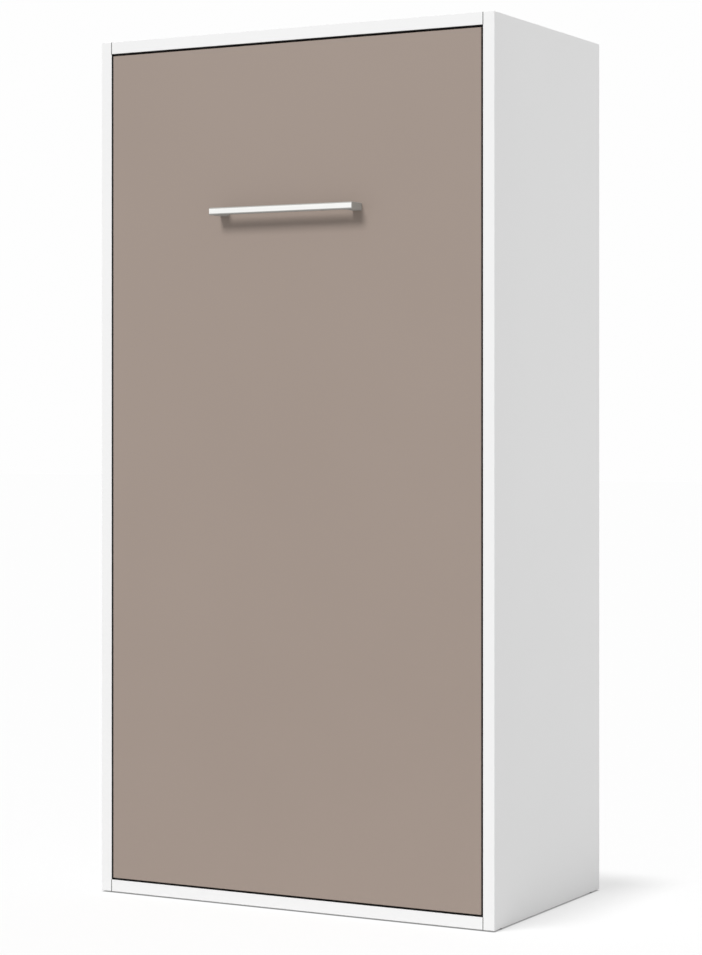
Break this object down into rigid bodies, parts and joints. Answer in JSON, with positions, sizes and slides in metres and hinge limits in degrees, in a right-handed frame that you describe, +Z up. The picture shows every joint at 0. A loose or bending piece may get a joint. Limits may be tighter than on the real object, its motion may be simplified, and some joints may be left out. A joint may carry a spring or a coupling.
{
  "type": "wall bed",
  "caption": "Tall white cupboard with a flush taupe door and bar handle; the bed behind the door folds down on gas springs and stands on a folding leg.",
  "frame": {"origin": "on the floor, under the middle of the whole object with its handle", "axes": "+Z up, the door and handle face -Y, the wall is on the +Y side, +X to the right of someone facing the door"},
  "size_m": [1.118, 0.683, 2.184],
  "materials": {
    "white_board": "satin",
    "frame_board": "satin",
    "back_board": "matte",
    "taupe_door": "matte",
    "handle_metal": "satin",
    "zinc_steel": "satin",
    "spring_paint": "satin",
    "spring_rod": "polished",
    "leg_paint": "satin",
    "black_plastic": "matte",
    "nylon": "matte",
    "rubber": "matte",
    "beech": "matte",
    "ticking": "matte",
    "elastic_web": "matte"
  },
  "bodies": {
    "cupboard": {"side_panel_left": "white_board", "side_panel_right": "white_board", "top_board": "white_board", "bottom_board": "white_board", "stop_batten_left": "white_board", "stop_batten_right": "white_board", "rear_rail_top": "white_board", "rear_rail_middle": "white_board", "rear_rail_bottom": "white_board", "back_panel_lower": "back_board", "back_panel_upper": "back_board", "hinge_plate_left": "zinc_steel", "hinge_plate_right": "zinc_steel", "spring_bracket_left": "zinc_steel", "spring_bracket_right": "zinc_steel", "hinge_screws": "zinc_steel", "cam_fittings": "zinc_steel", "floor_glides": "black_plastic", "pivot_bush_left": "nylon", "pivot_bush_right": "nylon", "door_buffers": "rubber", "joint_dowels": "beech"},
    "bed": {"door_panel": "taupe_door", "handle_bar": "handle_metal", "handle_post_left": "handle_metal", "handle_post_right": "handle_metal", "handle_screws": "zinc_steel", "bed_rail_left": "frame_board", "bed_rail_right": "frame_board", "head_rail": "frame_board", "foot_rail": "frame_board", "frame_angles_left": "zinc_steel", "frame_angles_right": "zinc_steel", "slats": "beech", "slat_holders_left": "black_plastic", "slat_holders_right": "black_plastic", "mattress": "ticking", "mattress_strap_lower": "elastic_web", "mattress_strap_upper": "elastic_web", "bed_plate_left": "zinc_steel", "bed_plate_right": "zinc_steel", "pivot_pin_left": "zinc_steel", "pivot_pin_right": "zinc_steel", "bed_plate_screws": "zinc_steel", "leg_bolt_left": "zinc_steel", "leg_bolt_right": "zinc_steel"},
    "leg": {"leg_arm_left": "leg_paint", "leg_arm_right": "leg_paint", "leg_post_left": "leg_paint", "leg_post_right": "leg_paint", "leg_cross_bar": "leg_paint", "leg_caps": "black_plastic", "leg_feet": "rubber"},
    "spring_cylinder_left": {"gas_cylinder_left": "spring_paint"},
    "spring_rod_left": {"gas_rod_left": "spring_rod"},
    "spring_cylinder_right": {"gas_cylinder_right": "spring_paint"},
    "spring_rod_right": {"gas_rod_right": "spring_rod"}
  },
  "joints": [
    {"name": "bed_hinge", "type": "hinge", "parent": "cupboard", "child": "bed", "pos_m": [0, -0.2465, 0.33], "axis": [1, 0, 0], "range_deg": [0, 90]},
    {"name": "leg_swing", "type": "hinge", "parent": "bed", "child": "leg", "pos_m": [0, -0.2015, 1.834], "axis": [1, 0, 0], "range_deg": [0, 180.5]},
    {"name": "spring_swing_left", "type": "hinge", "parent": "cupboard", "child": "spring_cylinder_left", "pos_m": [0, -0.1265, 0.75], "axis": [1, 0, 0], "range_deg": [0, 10.25]},
    {"name": "spring_stroke_left", "type": "slide", "parent": "spring_cylinder_left", "child": "spring_rod_left", "axis": [0, 0.1827, 0.9832], "range_m": [0, 0.14731]},
    {"name": "spring_swing_right", "type": "hinge", "parent": "cupboard", "child": "spring_cylinder_right", "pos_m": [0, -0.1265, 0.75], "axis": [1, 0, 0], "range_deg": [0, 10.25]},
    {"name": "spring_stroke_right", "type": "slide", "parent": "spring_cylinder_right", "child": "spring_rod_right", "axis": [0, 0.1827, 0.9832], "range_m": [0, 0.14731]}
  ],
  "couplings": [
    {"joint": "leg_swing", "follows": "bed_hinge", "ratio": 2},
    {"joint": "spring_swing_left", "follows": "bed_hinge", "ratio": 0.11381},
    {"joint": "spring_stroke_left", "follows": "bed_hinge", "m_per_rad": 0.093717},
    {"joint": "spring_swing_right", "follows": "bed_hinge", "ratio": 0.11381},
    {"joint": "spring_stroke_right", "follows": "bed_hinge", "m_per_rad": 0.093717}
  ]
}
